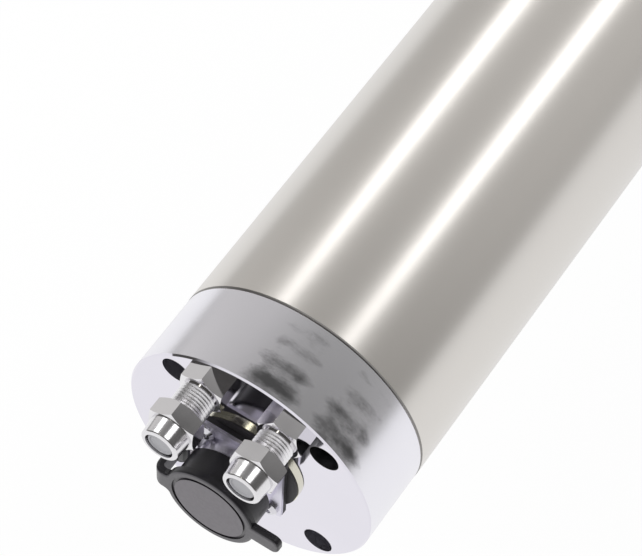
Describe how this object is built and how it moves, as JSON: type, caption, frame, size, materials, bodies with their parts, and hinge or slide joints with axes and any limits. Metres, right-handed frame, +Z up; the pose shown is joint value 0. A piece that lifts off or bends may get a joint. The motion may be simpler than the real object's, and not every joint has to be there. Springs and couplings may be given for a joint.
{
  "type": "motor spindle",
  "caption": "Water-cooled cylindrical motor spindle with a clamping sleeve, rear power connector, coolant fittings and a collet nose.",
  "frame": {"origin": "middle of the ground clamping seat, on the spindle axis", "axes": "+Y along the spindle axis towards the collet nose, +Z up through the gap between the two coolant fittings, +X to the right seen from behind with the fittings up"},
  "size_m": [0.08, 0.3114, 0.08],
  "materials": {
    "ground_steel": "ground and polished, fine turning lines",
    "polished_nickel": "polished nickel plate",
    "dark_screw_steel": "black oxide",
    "bright_screw_steel": "bright stainless",
    "bare_aluminium": "machined",
    "spring_steel": "spring temper, satin",
    "bearing_steel": "ground and lapped",
    "cage_plastic": "moulded, natural colour",
    "black_rubber": "matt",
    "lamination_steel": "stacked sheet",
    "copper_winding": "varnished copper wire",
    "shaft_steel": "hardened and ground",
    "collet_steel": "ground, satin",
    "yellow_gasket": "smooth, slightly glossy",
    "connector_metal": "bright, smooth",
    "insert_plastic": "moulded",
    "contact_brass": "plated",
    "cap_grey": "satin grey top, dark skirt",
    "plug_plastic": "moulded, pale grey"
  },
  "bodies": {
    "housing": {"housing_sleeve": "ground_steel", "rear_cap": "polished_nickel", "rear_cap_screws": "dark_screw_steel", "rear_bearing_plate": "bare_aluminium", "preload_spring": "spring_steel", "rear_bearing_outer_ring": "bearing_steel", "water_jacket": "bare_aluminium", "jacket_seals": "black_rubber", "stator_core": "lamination_steel", "stator_windings": "copper_winding", "front_flange": "polished_nickel", "front_flange_screws": "dark_screw_steel", "front_bearing_outer_rings": "bearing_steel", "front_cap": "ground_steel", "front_cap_screws": "dark_screw_steel", "connector_ring": "yellow_gasket", "connector_gasket": "black_rubber", "connector_shell": "connector_metal", "connector_insert": "insert_plastic", "connector_pins": "contact_brass", "connector_screws": "bright_screw_steel", "dust_cap_pin": "bright_screw_steel", "left_fitting_body": "polished_nickel", "right_fitting_body": "polished_nickel", "port_seals": "black_rubber"},
    "shaft": {"shaft": "shaft_steel", "rotor_core": "lamination_steel", "rotor_cage": "bare_aluminium", "bearing_locknut": "dark_screw_steel", "front_bearing_inner_rings": "bearing_steel", "rear_bearing_inner_ring": "bearing_steel"},
    "front_cage": {"front_bearing_cages": "cage_plastic", "front_bearing_balls": "bearing_steel"},
    "rear_cage": {"rear_bearing_cage": "cage_plastic", "rear_bearing_balls": "bearing_steel"},
    "collet": {"collet": "collet_steel"},
    "collet_nut": {"collet_nut": "shaft_steel"},
    "left_ferrule": {"left_ferrule": "contact_brass"},
    "left_nut": {"left_compression_nut": "polished_nickel"},
    "left_plug": {"left_port_plug": "plug_plastic"},
    "right_ferrule": {"right_ferrule": "contact_brass"},
    "right_nut": {"right_compression_nut": "polished_nickel"},
    "right_plug": {"right_port_plug": "plug_plastic"},
    "dust_cap": {"dust_cap": "cap_grey", "dust_cap_seal": "black_rubber"}
  },
  "joints": [
    {"name": "shaft_spin", "type": "hinge", "parent": "housing", "child": "shaft", "pos_m": [0, 0, 0], "axis": [0, 1, 0], "continuous": true},
    {"name": "front_cage_spin", "type": "hinge", "parent": "housing", "child": "front_cage", "pos_m": [0, 0.1028, 0], "axis": [0, 1, 0], "continuous": true},
    {"name": "rear_cage_spin", "type": "hinge", "parent": "housing", "child": "rear_cage", "pos_m": [0, -0.0936, 0], "axis": [0, 1, 0], "continuous": true},
    {"name": "collet_slide", "type": "slide", "parent": "shaft", "child": "collet", "axis": [0, 1, 0], "range_m": [0, 0.0032]},
    {"name": "collet_nut_turn", "type": "hinge", "parent": "collet", "child": "collet_nut", "pos_m": [0, 0.146, 0], "axis": [0, 1, 0], "range_deg": [0, 720]},
    {"name": "left_ferrule_slide", "type": "slide", "parent": "housing", "child": "left_ferrule", "axis": [0, -1, 0], "range_m": [0, 0.0032]},
    {"name": "left_nut_turn", "type": "hinge", "parent": "left_ferrule", "child": "left_nut", "pos_m": [-0.01247, -0.147, 0.0298], "axis": [0, -1, 0], "range_deg": [0, 1080]},
    {"name": "left_plug_pull", "type": "slide", "parent": "housing", "child": "left_plug", "axis": [0, -1, 0], "range_m": [0, 0.016]},
    {"name": "right_ferrule_slide", "type": "slide", "parent": "housing", "child": "right_ferrule", "axis": [0, -1, 0], "range_m": [0, 0.0032]},
    {"name": "right_nut_turn", "type": "hinge", "parent": "right_ferrule", "child": "right_nut", "pos_m": [0.01247, -0.147, 0.0298], "axis": [0, -1, 0], "range_deg": [0, 1080]},
    {"name": "right_plug_pull", "type": "slide", "parent": "housing", "child": "right_plug", "axis": [0, -1, 0], "range_m": [0, 0.016]},
    {"name": "dust_cap_flip", "type": "hinge", "parent": "housing", "child": "dust_cap", "pos_m": [-0.0166, -0.139, 0], "axis": [0, 0, -1], "range_deg": [0, 110]}
  ],
  "couplings": [
    {"joint": "front_cage_spin", "follows": "shaft_spin", "ratio": 0.41667},
    {"joint": "rear_cage_spin", "follows": "shaft_spin", "ratio": 0.39872},
    {"joint": "collet_slide", "follows": "collet_nut_turn", "m_per_rad": 0.00023873},
    {"joint": "left_ferrule_slide", "follows": "left_nut_turn", "m_per_rad": 0.00015915},
    {"joint": "right_ferrule_slide", "follows": "right_nut_turn", "m_per_rad": 0.00015915}
  ]
}
